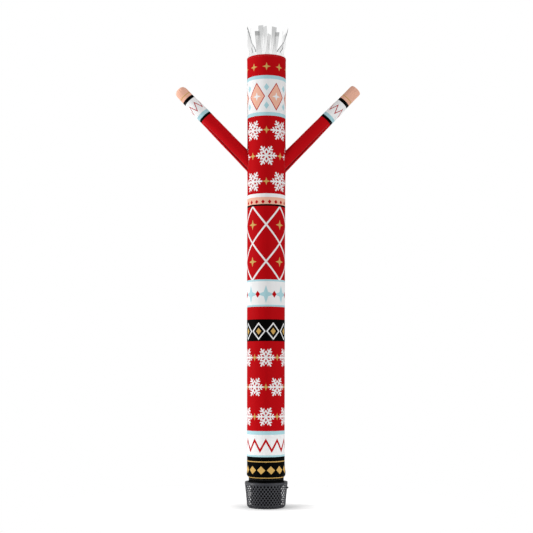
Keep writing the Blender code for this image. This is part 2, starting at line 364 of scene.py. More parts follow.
tube = {
    "rows": [  # height, radius, sway, gather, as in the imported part
        (0.306, 0.2026, 0, 0), (0.334, 0.2026, 0, 0), (0.346, 0.2052, 0, 0.0006),
        (0.355, 0.21, 0, 0.0022), (0.364, 0.218, -0.001, 0.0026),
        (0.374, 0.2222, -0.0015, 0.002), (0.392, 0.2236, -0.0012, 0.0014),
        (0.412, 0.2222, 0, 0.0016), (0.436, 0.2192, -0.002, 0.002),
        (0.47, 0.2184, -0.0034, 0.0012), (0.54, 0.2186, -0.0044, 0.0004),
        (0.78, 0.2194, -0.0046, 0), (1.65, 0.2226, -0.004, 0), (2.53, 0.224, -0.003, 0),
        (3.6, 0.2254, 0.0008, 0), (4.45, 0.2293, 0.0028, 0), (5.25, 0.2335, 0.0036, 0),
        (5.317, 0.2337, 0.0036, 0),
    ],
    "columns": 136, "rowStep": 0.022,
    "nearRows": (0.006, 0.48),  # their step and end, for the folds at the foot
    "around": 1.412,  # round the cloth, for the print
    "meanRadius": 0.225,
    "hem": (0.306, 0.334), "rimHem": (5.294, 5.317),
    "hemStep": 0.001,
    "hemEdge": 0.0015,  # half of the height over which a hem steps
    "hemStitch": 0.004,  # from the hem's edge
    "pleats": 12,
    "footFolds": (0.336, 0.4, 0.22),  # from, full at, fading length
    "bodyFolds": (0.5, 0.9),  # from, full at
    "folds": [  # depth, how many round and up, shift, zone
        (0.003, 5.0, 1.5, 0.0, "foot"),
        (0.0016, 2.4, 0.8, 0.0, "body"),
        (0.0008, 6.0, 2.2, 7.0, "body"),
    ],
    "seamTurn": pi / 2,  # down the back
    "seamHalf": 0.006, "seamLift": 0.0012, "seamStitch": 0.0042,
    "armHole": 0.0835, "holeStitch": 0.099, "holePitch": 0.005,
    "pullReach": 0.7,
    "lift": (0.003, 0.04),  # round a sleeve's root: height, fading length
    "pucker": (0.0024, 0.1, 11),  # the same, and how many
}
seamEase = 0.002  # over which a seam's lift ends
arms = {
    "arm_left": {
        "side": -1, "seat": Vector((-0.2327, 0.0, 4.0877)), "rise": 46.3,
        "rows": [  # reach, radius; the first five are the body
            (-0.15, 0.093), (0.38, 0.088), (0.751, 0.0835), (1.028, 0.0769), (1.11, 0.0755),
            (1.14, 0.0728), (1.164, 0.064), (1.18, 0.048), (1.188, 0.026), (1.19, 0.0),
        ],
    },
    "arm_right": {
        "side": 1, "seat": Vector((0.2297, 0.0, 4.0683)), "rise": 45.8,
        "rows": [
            (-0.15, 0.0915), (0.38, 0.085), (0.745, 0.0785), (1.017, 0.0727), (1.15, 0.0708),
            (1.206, 0.0695), (1.22, 0.061), (1.225, 0.045), (1.223, 0.024), (1.216, 0.009),
        ],
    },
}
tubeRadius, tubeSway, tubeGather = (curveThrough(tube["rows"], i) for i in (1, 2, 3))


def armAxes(arm):  # along the sleeve, and to its upper side
    lift = radians(arm["rise"])
    way = Vector((arm["side"] * cos(lift), 0.0, sin(lift)))
    upper = Vector((-arm["side"] * sin(lift), 0.0, cos(lift)))
    return way, upper


def splitBySleeve(arm, point):  # the way from its seat, along and across it
    way, _ = armAxes(arm)
    away = point - arm["seat"]
    along = way * away.dot(way)
    return along, away - along


def armPull(point):  # the cloth stands out and puckers round a sleeve's root
    height, heightFade = tube["lift"]
    depth, depthFade, count = tube["pucker"]
    lift = 0.0
    for arm in arms.values():
        if point.x * arm["side"] < 0 or (point - arm["seat"]).length > tube["pullReach"]:
            continue
        along, across = splitBySleeve(arm, point)
        outside = max(across.length - arm["rows"][0][1], 0.0)
        turn = atan2(across.y, across.dot(armAxes(arm)[1]))
        pucker = sin(count * turn + 2.0 * rough(turn, outside * 5, arm["seat"].x))
        lift += height * exp(-outside / heightFade)
        lift += depth * exp(-outside / depthFade) * pucker * smooth(outside, 0.0, 0.012)
    return lift


def wallReach(turn, height):  # the tube's outer radius, with its folds
    radius = tubeRadius(height)
    c, s = cos(turn), sin(turn)
    drift = 0.5 * rough(c * 2, s * 2, height * 3)
    radius += tubeGather(height) * cos(tube["pleats"] * turn + drift)
    start, full, fade = tube["footFolds"]
    zones = {
        "foot": exp(-max(height - full, 0.0) / fade) * smooth(height, start, full),
        "body": smooth(height, *tube["bodyFolds"]),
    }
    for depth, across, up, shift, zone in tube["folds"]:
        radius += depth * zones[zone] * rough(c * across, s * across, height * up + shift)
    seam = abs(remainder(turn - tube["seamTurn"], tau)) * radius
    half, edge = tube["seamHalf"], tube["hemEdge"]
    radius += tube["seamLift"] * (1 - smooth(seam, half, half + seamEase))
    top, under = tube["hem"][1], tube["rimHem"][0]
    radius += tube["hemStep"] * (1 - smooth(height, top - edge, top + edge))
    radius += tube["hemStep"] * smooth(height, under - edge, under + edge)
    return radius


def wallPoint(turn, height):
    outward = outwardAt(turn)
    point = outward * wallReach(turn, height)
    point += Vector((tubeSway(height), 0, height))
    return point + outward * armPull(point)


def tubeHeights():
    low, top = tube["hem"]
    under, rim = tube["rimHem"]
    edge, (step, end) = tube["hemEdge"], tube["nearRows"]
    quarters = [low + (top - low) * i / 4 for i in (1, 2, 3)]
    heights = [low, low + 0.001, *quarters, top - edge, top, top + edge]
    while heights[-1] + step < end:
        heights.append(heights[-1] + step)
    start, end = heights[-1], under - step
    count = round((end - start) / tube["rowStep"])
    heights += [start + (end - start) * (i + 1) / count for i in range(count)]
    return heights + [under - edge, under, under + edge, under + 0.008, rim - step, rim]


def nearArm(point):
    arm = arms["arm_right" if point.x > 0 else "arm_left"]
    return arm, *splitBySleeve(arm, point)


def makeTube(paint):
    heights = tubeHeights()
    half = tube["seamHalf"] / tube["meanRadius"]
    near = [0.0, half * 0.5, half, half + 0.009, half + 0.03]
    turns = turnsFromSeam(tube["columns"], near)
    rows = [[wallPoint(tube["seamTurn"] + t, z) for t in turns] for z in heights]
    around = tube["around"] / tau
    places = [[(t * around, z) for t in turns + [tau]] for z in heights]
    found = [[nearArm(point) for point in row] for row in rows]
    edges = [[(min(spot[2].length, 0.9), 0.0) for spot in row + row[:1]] for row in found]
    held = [[across.length > tube["armHole"] for *_, across in row] for row in found]
    for r, row in enumerate(found):  # the hole's edge is drawn out to a clean line
        for c, (arm, along, across) in enumerate(row):
            if not held[r][c]:
                size = tube["armHole"] / max(across.length, 1e-4)
                moved = arm["seat"] + along + across * size
                turn = atan2(moved.y, moved.x - tubeSway(moved.z))
                rows[r][c] = wallPoint(turn, moved.z)
    mesh = meshFromRows("body_tube_cloth", rows, {"cloth": places, "hole": edges}, held)
    piece = addPiece(mesh, paint, ["body_tube"])
    thicken(piece)


tubePrint = {
    "length": 5.4,
    "bands": [  # upper edge, colour
        (0.574, "black"), (0.602, "blue"), (0.838, "white"), (0.866, "blue"), (0.88, "black"),
        (1.9, "red"), (1.916, "gold"), (2.154, "black"), (2.17, "gold"), (2.3, "red"),
        (2.33, "blue"), (2.6, "white"), (2.63, "blue"), (3.5, "red"), (3.512, "black"),
        (3.59, "peach"), (3.602, "black"), (3.64, "white"), (4.56, "red"), (4.574, "black"),
        (4.606, "blue"), (5.014, "white"), (5.046, "blue"), (5.06, "black"), (5.4, "red"),
    ],
    "lines": [(0.352, 0.01, "gold"), (0.536, 0.01, "gold")],  # middle, width, colour
    "zigzag": (0.72, 10, 0.12, 0.046, "red"),  # middle, teeth, height, width, colour
    "flakes": [  # low, high, rows, flakes in a row, reach
        (0.88, 1.9, 3, 5, 0.118),
        (3.64, 4.56, 3, 4, 0.128),
    ],
    "spark": 0.36,  # reach of the star between two flakes, in theirs
    "lattice": (2.63, 3.5, 4, 2, 0.0065),  # low, high, cells round and up, half of a bar
    "motifs": [  # shape, how many round, shift in cells, middle, sizes, outline or 0, colour
        (diamond, 12, 0, 0.44, (0.05, 0.046), 0, "gold"),
        (diamond, 8, 0, 2.035, (0.076, 0.092), 0.009, "white"),
        (diamond, 8, 0, 2.035, (0.032, 0.04), 0, "gold"),
        (star, 7, 0, 2.465, (0.105,), 0, "blue"),
        (diamond, 7, 0.5, 2.465, (0.03, 0.042), 0, "red"),
        (star, 4, 0, 2.8475, (0.06,), 0, "gold"),
        (star, 4, 0, 3.2825, (0.06,), 0, "gold"),
        (diamond, 18, 0, 3.551, (0.022, 0.026), 0, "red"),
        (diamond, 6, 0, 4.81, (0.096, 0.16), 0, "peach"),
        (diamond, 6, 0, 4.81, (0.096, 0.16), 0.006, "red"),
        (star, 6, 0, 4.81, (0.052,), 0, "white"),
        (diamond, 6, 0.5, 4.92, (0.03, 0.044), 0, "blue"),
        (diamond, 6, 0.5, 4.7, (0.03, 0.044), 0, "blue"),
        (star, 9, 0, 5.17, (0.048,), 0, "gold"),
    ],
}


def printFlakes(ink, around, along, field):
    # snowflakes in staggered rows, with a small star between them
    low, high, rows, count, reach = field
    tall = (high - low) / rows
    wide = tube["around"] / count
    row = ((along - low) / tall).floor()
    x = around + row % 2.0 * (wide / 2)
    y = centred(along - low, tall)
    flake = snowflake(centred(x, wide), y, reach)
    spark = star(centred(x + wide / 2, wide), y, reach * tubePrint["spark"])
    within = (along > low) * (along < high)
    return stamp(stamp(ink, inked(flake) * within, "white"), inked(spark) * within, "gold")


def printLattice(ink, around, along):
    low, high, count, rows, half = tubePrint["lattice"]
    wide = tube["around"] / count
    rise = (along - low) / ((high - low) / rows)
    within = (along > low) * (along < high)
    for way in (1.0, -1.0):
        bar = abs((around / wide + rise * way) % 1.0 - 0.5) * (0.5 * wide)
        ink = stamp(ink, inked(bar - half) * within, "white")
    return ink


def tubeInk(around, along):
    ink = groundRamp(along, tubePrint["bands"], tubePrint["length"], colours)
    for middle, width, name in tubePrint["lines"]:
        ink = stamp(ink, inked(line(along, middle, width)), name)
    middle, teeth, height, width, name = tubePrint["zigzag"]
    teethLine = zigzag(around, along, middle, tube["around"] / teeth, height, width)
    ink = stamp(ink, inked(teethLine), name)
    for field in tubePrint["flakes"]:
        ink = printFlakes(ink, around, along, field)
    ink = printLattice(ink, around, along)
    for shape, count, shift, middle, sizes, outline, name in tubePrint["motifs"]:
        cell = tube["around"] / count
        x = centred(around + shift * cell, cell)
        distance = shape(x, along - middle, *sizes)
        if outline:
            distance = abs(distance) - outline
        ink = stamp(ink, inked(distance), name)
    return ink


def printedNylon():
    paint = Paint("printed_nylon_cloth", Specular_IOR_Level=finishAndPaintedShade["gloss"])
    around, along = paint.clothPlace("cloth")
    hole = paint.clothPlace("hole")[0]
    ink = tubeInk(around, along)
    seam = centred(around + tube["around"] / 2, tube["around"])
    sewn = stitches(along, abs(seam) - tube["seamStitch"])
    inset = tube["hemStitch"]
    for height in (tube["hem"][1] - inset, tube["rimHem"][0] + inset):
        sewn = sewn.most(stitches(around, along - height))
    sewn = sewn.most(stitches(around, hole - tube["holeStitch"], tube["holePitch"]))
    nylon(paint, around, along, sew(ink, sewn), sewn)
    return paint


print("tube")
makeTube(printedNylon())

sleeve = {
    "columns": 72, "rowStep": 0.016, "tipRows": 26,
    "rootRows": [0.0, 0.003, 0.006, 0.01],  # shares of the body, closer together
    "bodyRows": 5,  # how many of an arm's rows are its body
    "meanRadius": 0.085,
    "rootBetween": (-0.149, 0.3),
    "puckers": (0.0024, 0.1, 9),  # at the root: depth, fading length, count
    "folds": [(0.0022, 1.6, 6.0, 1), (0.001, 4.0, 15.0, 0)],  # depth, round, along, shift
    "gather": (0.002, 14, 0.12, 0.03),  # at the tip: depth, count, from, full at
    "flare": 0.004,
    "seamTurn": radians(222.0),  # low on the side that faces the front
    "seamHalf": 0.004, "seamLift": 0.0012, "seamStitch": 0.003, "rootStitch": 0.006,
    "tuck": (-0.017, 0.015),  # from the seam to the tuck's middle, half of its width
    # along the tuck the print is darkened by a share: a painted shade in its crease
    "tuckDepth": 0.006, "tuckPaintedShade": 0.85, "tuckEnd": (0.3, 0.66),
    "ventRadius": 0.0085, "ventDepths": (0.006, 0.02),
}


def sleevePoint(arm, radiusAt, turn, reach, root):
    # turn 0 is the upper side, a quarter turn on is the back
    way, upper = armAxes(arm)
    z = arm["seat"].z
    radius = radiusAt(reach)
    c, s = cos(turn), sin(turn)
    away = max(reach - root, 0.0)
    full = radius / 0.09  # how wide it is here, as a share of the root
    depth, fade, count = sleeve["puckers"]
    pucker = depth * exp(-away / fade) * sin(count * turn + 2 * rough(c, s, z))
    radius += pucker * smooth(away, 0, 0.02)
    for depth, across, along, shift in sleeve["folds"]:
        radius += depth * full * rough(c * across, s * across, reach * along + z * shift)
    depth, count, start, end = sleeve["gather"]
    tip = arm["rows"][-1][0]
    gather = smooth(reach, tip - start, tip - end) * min(1.0, radius / 0.06)
    radius += depth * gather * cos(count * turn + rough(c * 3, s * 3, 1.0))
    radius += sleeve["flare"] * (1 - smooth(away, 0.0, 0.012)) * full
    fromSeam = remainder(turn - sleeve["seamTurn"], tau) * radius
    half = sleeve["seamHalf"]
    radius += sleeve["seamLift"] * full * (1 - smooth(abs(fromSeam), half, half + seamEase))
    middle, half = sleeve["tuck"]
    tuck = exp(-((fromSeam - middle) / half) ** 2)
    radius -= sleeve["tuckDepth"] * (tuck * (1 - smooth(reach, *sleeve["tuckEnd"])))
    radial = upper * c + Vector((0.0, s, 0.0))
    return arm["seat"] + way * reach + radial * max(radius, 0.0)


def sleeveRoot(arm, radiusAt, turn):  # where the sleeve leaves the wall on that side
    low, high = sleeve["rootBetween"]
    for _ in range(24):
        middle = (low + high) / 2
        point = sleevePoint(arm, radiusAt, turn, middle, middle)
        x = point.x - tubeSway(point.z)
        wall = wallReach(atan2(point.y, x), point.z) + armPull(point)
        inside = hypot(x, point.y) < wall - 0.0004
        low, high = (middle, high) if inside else (low, middle)
    return (low + high) / 2


armPrint = {
    "length": 1.3,
    "around": 0.534,
    # the sleeves' red and white are brighter copies of the tube's: painted light, making up
    # for the sleeves getting less light than the tube
    "dyesAndPaintedLight": {**colours, "red": (0.57, 0.004, 0.008, 1), "white": (0.965, 0.968, 0.972, 1)},
    "bands": ("red", "black", "blue", "white", "black", "peach"),
    "left": (0.698, 0.73, 0.772, 0.984, 1.022, 1.3),  # the bands' upper edges
    "right": (0.69, 0.722, 0.764, 0.974, 1.012, 1.3),
    "zigzag": (6, 0.1, 0.026),  # on the white: teeth, height, width
    "line": (0.045, 0.01),  # past the last black band, width
}


def makeSleeve(name, paint):
    arm = arms[name]
    profile = arm["rows"]
    lengths = [0.0]  # along the profile, because it turns in at the tip
    for a, b in zip(profile, profile[1:]):
        lengths.append(lengths[-1] + dist(a, b))
    traced = [(d, *p) for d, p in zip(lengths, profile)]
    reachAt, radiusBy = curveThrough(traced, 1), curveThrough(traced, 2)
    count = sleeve["bodyRows"]
    body = curveThrough(profile[:count], 1)
    bodyEnd, bodyLength = profile[count - 1][0], lengths[count - 1]
    half = sleeve["seamHalf"] / sleeve["meanRadius"]
    turns = turnsFromSeam(sleeve["columns"], [0.0, half * 0.6, half, half + 0.024])
    roots = [sleeveRoot(arm, body, sleeve["seamTurn"] + t) for t in turns]
    rows, places, edges = [], [], []

    def addRow(radiusAt, reaches, starts, spots):
        rows.append([
            sleevePoint(arm, radiusAt, sleeve["seamTurn"] + t, reach, start)
            for t, reach, start in zip(turns, reaches, starts)
        ])
        spots, starts = spots + spots[:1], starts + starts[:1]
        spread = zip(turns + [tau], spots)
        places.append([(t * armPrint["around"] / tau, spot) for t, spot in spread])
        edges.append([(spot - start, 0.0) for spot, start in zip(spots, starts)])

    def addTipRow(reach, radius, spot):
        count = len(turns)
        addRow(lambda _: radius, [reach] * count, [profile[0][0]] * count, [spot] * count)

    steps = round(bodyLength / sleeve["rowStep"])
    nearRoot = sleeve["rootRows"]
    shares = [i / steps for i in range(steps + 1)]
    for share in nearRoot + [s for s in shares if s > nearRoot[-1] + 0.002]:
        reaches = [root + (bodyEnd - root) * share for root in roots]
        addRow(body, reaches, roots, reaches)
    for i in range(1, sleeve["tipRows"] + 1):
        along = bodyLength + (lengths[-1] - bodyLength) * i / sleeve["tipRows"]
        spot = bodyEnd + (along - bodyLength)
        addTipRow(reachAt(along), radiusBy(along), spot)
    if arm["side"] > 0:  # the tip is gathered round a vent, which goes on inside
        for depth in sleeve["ventDepths"]:
            addTipRow(profile[-1][0] - depth, sleeve["ventRadius"], spot)
    mesh = meshFromRows(name + "_cloth", rows, {"cloth": places, "root": edges})
    piece = addPiece(mesh, paint, [name])
    thicken(piece)


def sleeveNylon(side):
    paint = Paint("sleeve_nylon_" + side, Specular_IOR_Level=finishAndPaintedShade["gloss"])
    around, along = paint.clothPlace("cloth")
    root = paint.clothPlace("root")[0]
    bands = zip(armPrint[side], armPrint["bands"])
    ink = groundRamp(along, bands, armPrint["length"], armPrint["dyesAndPaintedLight"])
    blueEdge, whiteEdge, blackEdge = armPrint[side][2:5]
    teeth, height, width = armPrint["zigzag"]
    middle = (blueEdge + whiteEdge) / 2
    teethLine = zigzag(around, along, middle, armPrint["around"] / teeth, height, width)
    ink = stamp(ink, inked(teethLine), "red")
    past, width = armPrint["line"]
    ink = stamp(ink, inked(line(along, blackEdge + past, width)), "gold")
    seam = centred(around + armPrint["around"] / 2, armPrint["around"])
    sewn = stitches(along, abs(seam) - sleeve["seamStitch"])
    sewn = sewn.most(stitches(around, root - sleeve["rootStitch"]))
    middle, half = sleeve["tuck"]
    tuck = (1.0 - abs(seam - middle) / half).clamped() * (1.0 - along.ramp(*sleeve["tuckEnd"]))
    # painted shade: the print is darkened along the tuck, fading out towards the cuff
    ink = paint.shade(sew(ink, sewn), 1.0 - tuck.root() * sleeve["tuckPaintedShade"])
    nylon(paint, around, along, ink, sewn)
    return paint


print("arms")
makeSleeve("arm_left", sleeveNylon("left"))
makeSleeve("arm_right", sleeveNylon("right"))

crown = {
    "bandRows": [(5.284, 0.2312), (5.318, 0.231), (5.341, 0.224), (5.363, 0.2116)],
    "bandHeights": [5.284, 5.3, 5.318, 5.33, 5.341, 5.352, 5.363],
    "bandFilm": 0.5,
    "stripColumns": 10, "gapColumns": 2, "stripRows": 26,
    "width": 0.062,
    "footSpread": 360.0 / 16 * 10 / 12,  # in degrees
    "footBlend": 0.16,  # share of a strip in which it leaves the band's curve
    "twisting": (0.12, 0.38),  # shares of a strip between which it twists
    "hems": (0.002, 0.012),  # at a strip's sides, and on the dense strips
    "folded": (11, 13),  # strips whose ends are folded over
    "fold": 0.05,
    "doubled": 1.7,  # how much denser the film is there
    "greyingSpan": (0.05, 0.2),  # metres up a strip between which it turns greyer and denser
    "ripple": 0.0048, "cup": 0.004,
    "clear": (0.66, 0.67, 0.67, 1),
    "dull": (0.36, 0.37, 0.37, 1),
    "dense": (0.14, 0.15, 0.15, 1),
    "hemmed": (0.1, 0.11, 0.11, 1),
    "denseFilm": (0.6, 0.9),  # between which the film turns dense
    "hemCover": 0.88,
    "footCover": 0.45,  # share of the cover that the feet have
}
strips = [  # rise, lean, curl, drift, twist, film, from the left round the front
    (0.3, -0.01, 0.016, 0.01, 28, 0.3),
    (0.315, -0.024, 0.02, 0.006, 20, 0.26),
    (0.301, 0.0255, 0.0318, -0.057, 43.5, 0.95),
    (0.314, -0.012, 0.01, 0.014, 6, 0.62),
    (0.304, -0.012, -0.008, -0.022, 44, 0.42),
    (0.296, -0.01, 0.016, 0.01, -8, 0.6),
    (0.283, 0.147, -0.073, 0.074, -45, 0.95),
    (0.28, -0.02, 0.02, -0.006, -22, 0.26),
    (0.262, -0.004, 0.014, -0.01, -26, 0.3),
    (0.33, -0.02, 0.03, 0.006, 24, 0.26),
    (0.352, 0.05, 0.046, -0.03, 46, 0.34),
    (0.345, -0.008, 0, -0.06, 10, 0.42),
    (0.33, -0.01, -0.008, -0.036, -52, 0.42),
    (0.362, -0.008, 0, 0.04, 8, 0.42),
    (0.366, 0.034, 0.04, 0.034, -44, 0.34),
    (0.325, -0.018, 0.022, -0.006, -24, 0.26),
]


def stripPoint(strip, angle, share, side):  # side runs from -0.5 to 0.5 across the strip
    rise, lean, curl, drift, twist = strip[:5]
    height, radius = crown["bandRows"][-1]
    sway = Vector((tube["rows"][-1][2], 0.0, 0.0))
    turn = radians(angle)
    outward = outwardAt(turn)
    along = Vector((-sin(turn), cos(turn), 0.0))
    level = Vector((0, 0, height + rise * share))
    centre = outward * (radius + lean * share + curl * share * share) + along * (drift * share)
    centre += level
    spin = radians(twist) * smooth(share, *crown["twisting"])
    roll = -atan2(drift, rise) * sin(share * pi / 2)
    across = (along * cos(spin) + outward * sin(spin)) * cos(roll)
    across += Vector((0, 0, sin(roll)))
    flat = centre + across * (crown["width"] * side)
    ripple = crown["ripple"] * rough(angle * 0.1, share * rise * 16, side * 1.2)
    cup = crown["cup"] * (1 - 4 * side * side) * rough(angle * 0.3, share * 2, 3.0)
    flat += outward * (ripple + cup) * smooth(share, 0.0, 0.5)
    foot = outwardAt(radians(angle + crown["footSpread"] * side)) * radius
    foot += level
    return sway + foot.lerp(flat, smooth(share, 0.0, crown["footBlend"]))


def makeCrown(paint):
    columns, steps = crown["stripColumns"], crown["stripRows"]
    perStrip = columns + crown["gapColumns"]
    count = perStrip * len(strips)
    sway = tube["rows"][-1][2]
    first = radians(-180.0 - crown["footSpread"] / 2)
    points, faces, corners, film = [], [], [], []

    def quad(ring, across, along, thickness, hem):
        faces.append(ring)
        (left, right), (low, high) = across, along
        corners.extend((left, low, right, low, right, high, left, high))
        film.extend((thickness, hem) * 4)

    heights = crown["bandHeights"]
    radiusAt = curveThrough(crown["bandRows"], 1)
    for height in heights:
        for i in range(count):
            turn = first + tau * i / count
            radius = radiusAt(height)
            points.append((sway + radius * cos(turn), radius * sin(turn), height))
    # across runs from a strip's middle, and along from its foot
    edges = [(i / columns - 0.5) * crown["width"] for i in range(perStrip + 1)]
    for r, (low, high) in enumerate(zip(heights, heights[1:])):
        drops = low - heights[-1], high - heights[-1]
        for i in range(count):
            j, start = (i + 1) % count, r * count
            ring = (start + i, start + j, start + count + j, start + count + i)
            quad(ring, edges[i % perStrip:i % perStrip + 2], drops, crown["bandFilm"], 0.0)
    top = (len(heights) - 1) * count
    for n, strip in enumerate(strips):
        angle, rise, thin = 360.0 / len(strips) * n - 180.0, strip[0], strip[5]
        hem = crown["hems"][thin > crown["denseFilm"][1]]
        fold = crown["fold"] if n in crown["folded"] else 0.0
        last = [top + (n * perStrip + i) % count for i in range(columns + 1)]
        for step in range(1, steps + 1):
            row = [len(points) + i for i in range(columns + 1)]
            for i in range(columns + 1):
                points.append(tuple(stripPoint(strip, angle, step / steps, i / columns - 0.5)))
            reach = (step - 1) / steps * rise, step / steps * rise
            doubled = crown["doubled"] if reach[1] > rise - fold else 1.0
            for i in range(columns):
                ring = (last[i], last[i + 1], row[i + 1], row[i])
                quad(ring, edges[i:i + 2], reach, thin * doubled, hem)
            last = row
    mesh = newMesh("crown_strips", points, faces, {"cloth": corners, "film": film})
    piece = addPiece(mesh, paint, ["crown_fringe"])


def streamerFilm():
    paint = Paint("streamer_film", Roughness=0.45, Specular_IOR_Level=0.3)
    across, along = paint.clothPlace("cloth")
    film, hem = paint.clothPlace("film")
    sewn = inked(crown["width"] / 2 - hem - abs(across)) * inked(along * -1.0)
    greyedUp = along.ramp(*crown["greyingSpan"])
    creases = paint.noise(paint.place(), 16.0, detail=4.0)
    grey = paint.mix(greyedUp, crown["clear"], crown["dull"])
    grey = paint.mix(film.ramp(*crown["denseFilm"]) * greyedUp, grey, crown["dense"])
    grey = paint.mix(sewn, grey, crown["hemmed"])
    # painted shade: the grey is lighter where the creases raise the relief and darker in their
    # dips
    paint.set(Base_Color=paint.shade(grey, creases * 0.16 + 0.92))
    foot = crown["footCover"]
    cover = film * (greyedUp * (1 - foot) + foot) * (creases * 0.24 + 0.88)
    paint.set(Alpha=(cover * (1.0 - sewn) + sewn * crown["hemCover"]).clamped())
    paint.relief(creases * 1.2)
    return paint


print("crown")
makeCrown(streamerFilm())

guard = {
    "base": 0.188,
    "wallFoot": (0.2255, 0.04),
    "wallHead": (0.2475, 0.27),
    "bendSteps": 12,  # from wall to base
    "rim": 0.249, "rimTop": 0.296, "rimBend": 0.006,
    "rimSkirt": 0.003,  # thickness of the rim below the deck
    "deck": 0.003, "deckHole": 0.2045,
    "groove": ((0.0, 0.004), (0.001, 0.0028), (0.003, 0.0012)),  # depth, half of its height
    "columns": 144,
    "holes": 38,  # in a row
    "rowPitch": 0.0243,
    "margins": (0.004, 0.006),  # left off the wall under the rim and at the base
    "edge": 0.0158,  # from the outer rows to the wall's edges
    "hole": 0.013,  # its radius on the wall, less on the bend below
    "lip": 0.001, "wall": 0.0055, "floor": 0.004,
    "plastic": (0.024, 0.025, 0.033, 1),
    "dusty": (0.056, 0.057, 0.067, 1),
    "splashed": (0.11, 0.105, 0.095, 1),
    "dust": (0.52, 0.78, 0.5),  # of a noise, from and full at, and its share
    "splash": (0.06, 0.6),  # metres above the ground, and its share
}


def guardProfile():  # distance from the rim, radius, height
    foot, low = guard["wallFoot"]
    points = [guard["wallHead"], guard["wallFoot"]]
    reach = foot - guard["base"]
    for i in range(1, guard["bendSteps"] + 1):
        turn = pi / 2 * i / guard["bendSteps"]
        points.append((guard["base"] + reach * cos(turn), low - low * sin(turn)))
    rows, distance = [], 0.0
    for i, point in enumerate(points):
        distance += dist(points[i - 1], point) if i else 0.0
        rows.append((distance, *point))
    return rows


guardRows = guardProfile()
guardRadius, guardHeight = (curveThrough(guardRows, i) for i in (1, 2))
guardEnd = guardRows[-1][0] - guard["margins"][1]


def makeGuardWall(paint):
    first, last = guard["margins"][0], guardEnd
    room = last - first - 2 * guard["edge"]
    rows = round(room / guard["rowPitch"]) + 1
    pitch = room / (rows - 1)
    count = guard["holes"]
    wide = tau * (guard["wallFoot"][0] + guard["wallHead"][0]) / 2 / count
    tall = pitch / 2 + wide * wide / (8 * pitch)  # from a hole's middle to its cell's peak
    start, levels = first + guard["edge"], (0.0, pitch - tall, pitch / 2, tall)
    rises = [start + row * pitch + level for row in range(rows) for level in levels]
    rises = [first, *rises[:4 * rows - 3], last]
    points, shared, faces = [], {}, []

    def spot(turn, distance, depth):
        low, high = distance - 0.002, distance + 0.002
        dr, dz = guardRadius(high) - guardRadius(low), guardHeight(high) - guardHeight(low)
        size = hypot(dr, dz)
        r = guardRadius(distance) + dz / size * depth  # depth runs inwards
        z = guardHeight(distance) - dr / size * depth
        points.append((r * cos(turn), r * sin(turn), z))
        return len(points) - 1

    def corner(x, y, depth):  # points that neighbouring cells share, x in quarters of a cell
        key = (x % (4 * count), min(max(y + 1, 0), len(rises) - 1), depth)
        if key not in shared:
            shared[key] = spot(key[0] * tau / (4 * count), rises[key[1]], depth)
        return shared[key]

    # six-sided cells, and the middles of their sides
    outline = [(2, 0), (2, -1), (1, -2), (0, -3), (-1, -2), (-2, -1)]
    outline += [(-x, -y) for x, y in outline]
    sides = len(outline)

    turns = [tau * i / sides for i in range(sides)]

    def ring(turn, distance, size, depth):
        reach = size / guardRadius(distance)
        return [spot(turn + reach * cos(t), distance - size * sin(t), depth) for t in turns]

    for row in range(rows):
        distance = start + row * pitch
        hole = guard["hole"] * min(1.0, guardRadius(distance) / guard["wallFoot"][0])
        for column in range(count):
            x, y = 4 * column + 2 * (row % 2), 4 * row
            turn = x * tau / (4 * count)
            rings = [
                [corner(x + a, y + b, 0.0) for a, b in outline],
                ring(turn, distance, hole + guard["lip"], 0.0),
                ring(turn, distance, hole, guard["lip"] * 0.6),
                ring(turn, distance, hole, guard["wall"]),
                [corner(x + a, y + b, guard["wall"]) for a, b in outline],
            ]
            for a, b in zip(rings, rings[1:]):
                for i in range(sides):
                    j = (i + 1) % sides
                    faces.append((a[i], a[j], b[j], b[i]))
    for y, flip in ((-1, True), (4 * rows - 3, False)):  # the wall's two edges
        for x in range(4 * count):
            a, b = corner(x, y, 0.0), corner(x + 1, y, 0.0)
            c, d = corner(x + 1, y, guard["wall"]), corner(x, y, guard["wall"])
            faces.append((a, b, c, d) if flip else (d, c, b, a))
    addPiece(newMesh("guard_wall", points, faces), paint, ["blower_guard"])


def turned(name, profile, steps, closed=True, flutes=0, depth=0.0):
    # a profile of (radius, height) turned round the upright axis
    points, faces, rows = [], [], []
    for radius, height in profile:
        if radius < 1e-6:
            rows.append([len(points)])
            points.append((0.0, 0.0, height))
            continue
        rows.append([len(points) + i for i in range(steps)])
        for i in range(steps):
            t = tau * i / steps
            r = radius * (1 + depth * cos(flutes * t))
            points.append((r * cos(t), r * sin(t), height))
    pairs = list(zip(rows, rows[1:])) + ([(rows[-1], rows[0])] if closed else [])
    for a, b in pairs:
        for i in range(steps):
            j = (i + 1) % steps
            if len(a) == 1:
                faces.append((a[0], b[i], b[j]))
            elif len(b) == 1:
                faces.append((a[i], b[0], a[j]))
            else:
                faces.append((a[i], b[i], b[j], a[j]))
    return newMesh(name, points, faces)


def bend(centreX, centreZ, radius, start, end, steps):
    angles = [radians(start + (end - start) * i / steps) for i in range(steps + 1)]
    return [(centreX + radius * cos(t), centreZ + radius * sin(t)) for t in angles]


def makeRim(paint):
    head, high = guard["wallHead"]
    rim, top, hole, deck = guard["rim"], guard["rimTop"], guard["deckHole"], guard["deck"]
    middle, inside = (high + top) / 2, head - guard["rimSkirt"]
    groove = [(rim - depth, middle + half) for depth, half in guard["groove"]]
    groove += [(rim - depth, middle - half) for depth, half in reversed(guard["groove"])]
    profile = [(hole, top - deck), *bend(hole + 0.0012, top - 0.0012, 0.0012, 180, 90, 3)]
    profile += bend(rim - guard["rimBend"], top - guard["rimBend"], guard["rimBend"], 90, 0, 6)
    profile += groove + bend(rim - 0.0015, high + 0.0015, 0.0015, 0, -90, 3)
    profile += [(inside, high), (inside, top - deck)]
    addPiece(turned("guard_rim", profile, guard["columns"]), paint)


